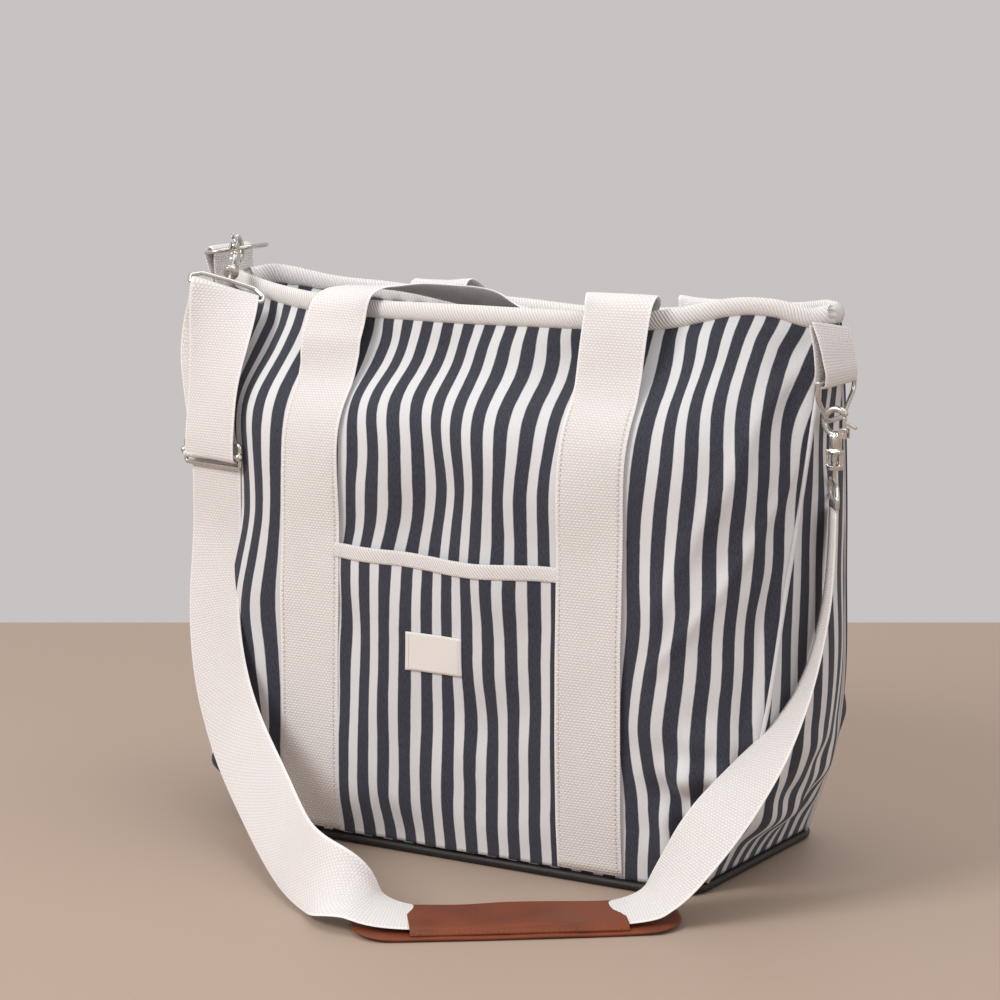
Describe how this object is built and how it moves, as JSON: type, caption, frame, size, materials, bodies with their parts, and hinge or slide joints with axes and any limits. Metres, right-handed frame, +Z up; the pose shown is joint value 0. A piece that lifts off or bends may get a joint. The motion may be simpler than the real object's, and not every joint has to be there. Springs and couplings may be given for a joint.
{
  "type": "weekender bag",
  "caption": "Striped canvas zip-top weekender bag with webbing handles, front pocket, and a clip-on adjustable shoulder strap with a leather pad.",
  "frame": {"origin": "middle of the base on the surface it stands on", "axes": "+X bag right seen from its front, front faces -Y, +Z up"},
  "size_m": [0.5267, 0.4038, 0.4213],
  "materials": {
    "striped_canvas": "woven navy and white stripes",
    "cream_webbing": "ribbed cotton webbing",
    "cream_twill": "twill",
    "label_cloth": "fine plain weave",
    "lining_cloth": "plain weave",
    "zip_tape": "herringbone tape",
    "zip_nylon": "coil",
    "black_leatherette": "grained",
    "stiffener_board": "board",
    "tan_leather": "smooth",
    "nickel": "bright plated"
  },
  "bodies": {
    "bag": {"back_handle_leg_left": "cream_webbing", "back_handle_leg_right": "cream_webbing", "back_panel": "striped_canvas", "base_board": "stiffener_board", "base_panel": "black_leatherette", "base_piping": "black_leatherette", "front_handle_leg_left": "cream_webbing", "front_handle_leg_right": "cream_webbing", "front_panel": "striped_canvas", "front_pocket": "striped_canvas", "label": "label_cloth", "left_gusset": "striped_canvas", "left_swivel_loop": "nickel", "left_tab": "cream_webbing", "lining": "lining_cloth", "pocket_binding": "cream_twill", "right_gusset": "striped_canvas", "right_swivel_loop": "nickel", "right_tab": "cream_webbing", "rim_binding": "cream_twill", "shoulder_strap": "cream_webbing", "strap_adjuster_loop": "cream_webbing", "top_panel_back": "striped_canvas", "top_panel_front": "striped_canvas", "zip_coil_back": "zip_nylon", "zip_coil_front": "zip_nylon", "zip_end_stops": "nickel", "zip_tape_back": "zip_tape", "zip_tape_front": "zip_tape"},
    "zip_slider": {"zip_slider": "nickel"},
    "zip_pull": {"zip_pull": "nickel"},
    "front_handle": {"front_handle_loop": "cream_webbing"},
    "back_handle": {"back_handle_loop": "cream_webbing"},
    "left_ring": {"left_d_ring": "nickel"},
    "right_ring": {"right_d_ring": "nickel"},
    "left_hook": {"left_hook_body": "nickel", "left_gate_pin": "nickel"},
    "right_hook": {"right_hook_body": "nickel", "right_gate_pin": "nickel"},
    "left_gate": {"left_hook_gate": "nickel"},
    "right_gate": {"right_hook_gate": "nickel"},
    "strap_slider": {"strap_slider": "nickel"},
    "shoulder_pad": {"shoulder_pad_base": "tan_leather", "shoulder_pad_sleeve": "tan_leather"}
  },
  "joints": [
    {"name": "zip_slide", "type": "slide", "parent": "bag", "child": "zip_slider", "axis": [-1, 0, 0], "range_m": [0, 0.36]},
    {"name": "zip_pull_flip", "type": "hinge", "parent": "zip_slider", "child": "zip_pull", "pos_m": [0.178, 0, 0.3643], "axis": [0, 1, 0], "range_deg": [0, 100]},
    {"name": "front_handle_swing", "type": "hinge", "parent": "bag", "child": "front_handle", "pos_m": [0, -0.062, 0.387], "axis": [1, 0, 0], "range_deg": [0, 135]},
    {"name": "back_handle_swing", "type": "hinge", "parent": "bag", "child": "back_handle", "pos_m": [0, 0.066, 0.387], "axis": [1, 0, 0], "range_deg": [0, 140]},
    {"name": "left_ring_swing", "type": "hinge", "parent": "bag", "child": "left_ring", "pos_m": [-0.2548, 0, 0.4057], "axis": [0, 1, 0], "range_deg": [-5, 5]},
    {"name": "right_ring_swing", "type": "hinge", "parent": "bag", "child": "right_ring", "pos_m": [0.2525, -0.02, 0.346], "axis": [0, 1, 0], "range_deg": [-5, 5]},
    {"name": "strap_slider_slide", "type": "slide", "parent": "bag", "child": "strap_slider", "axis": [0, 0, -1], "range_m": [0, 0.04]},
    {"name": "shoulder_pad_slide", "type": "slide", "parent": "bag", "child": "shoulder_pad", "axis": [0.8039, 0.5948, 0], "range_m": [-0.01, 0.01]},
    {"name": "left_hook_swivel", "type": "hinge", "parent": "bag", "child": "left_hook", "pos_m": [-0.23275, -0.01888, 0.40941], "axis": [-0.3552, 0.7872, 0.5041], "range_deg": [-15, 15]},
    {"name": "left_gate_open", "type": "hinge", "parent": "left_hook", "child": "left_gate", "pos_m": [-0.23033, -0.02678, 0.41194], "axis": [-0.9331, -0.3311, -0.1405], "range_deg": [0, 20], "stiffness_Nm_per_rad": 0.02, "springref_deg": -17.19},
    {"name": "right_hook_swivel", "type": "hinge", "parent": "bag", "child": "right_hook", "pos_m": [0.25286, -0.02, 0.31739], "axis": [0.02, 0, 0.9998], "range_deg": [-15, 15]},
    {"name": "right_gate_open", "type": "hinge", "parent": "right_hook", "child": "right_gate", "pos_m": [0.25914, -0.02, 0.31146], "axis": [0, -1, 0], "range_deg": [0, 20], "stiffness_Nm_per_rad": 0.02, "springref_deg": -17.19}
  ]
}
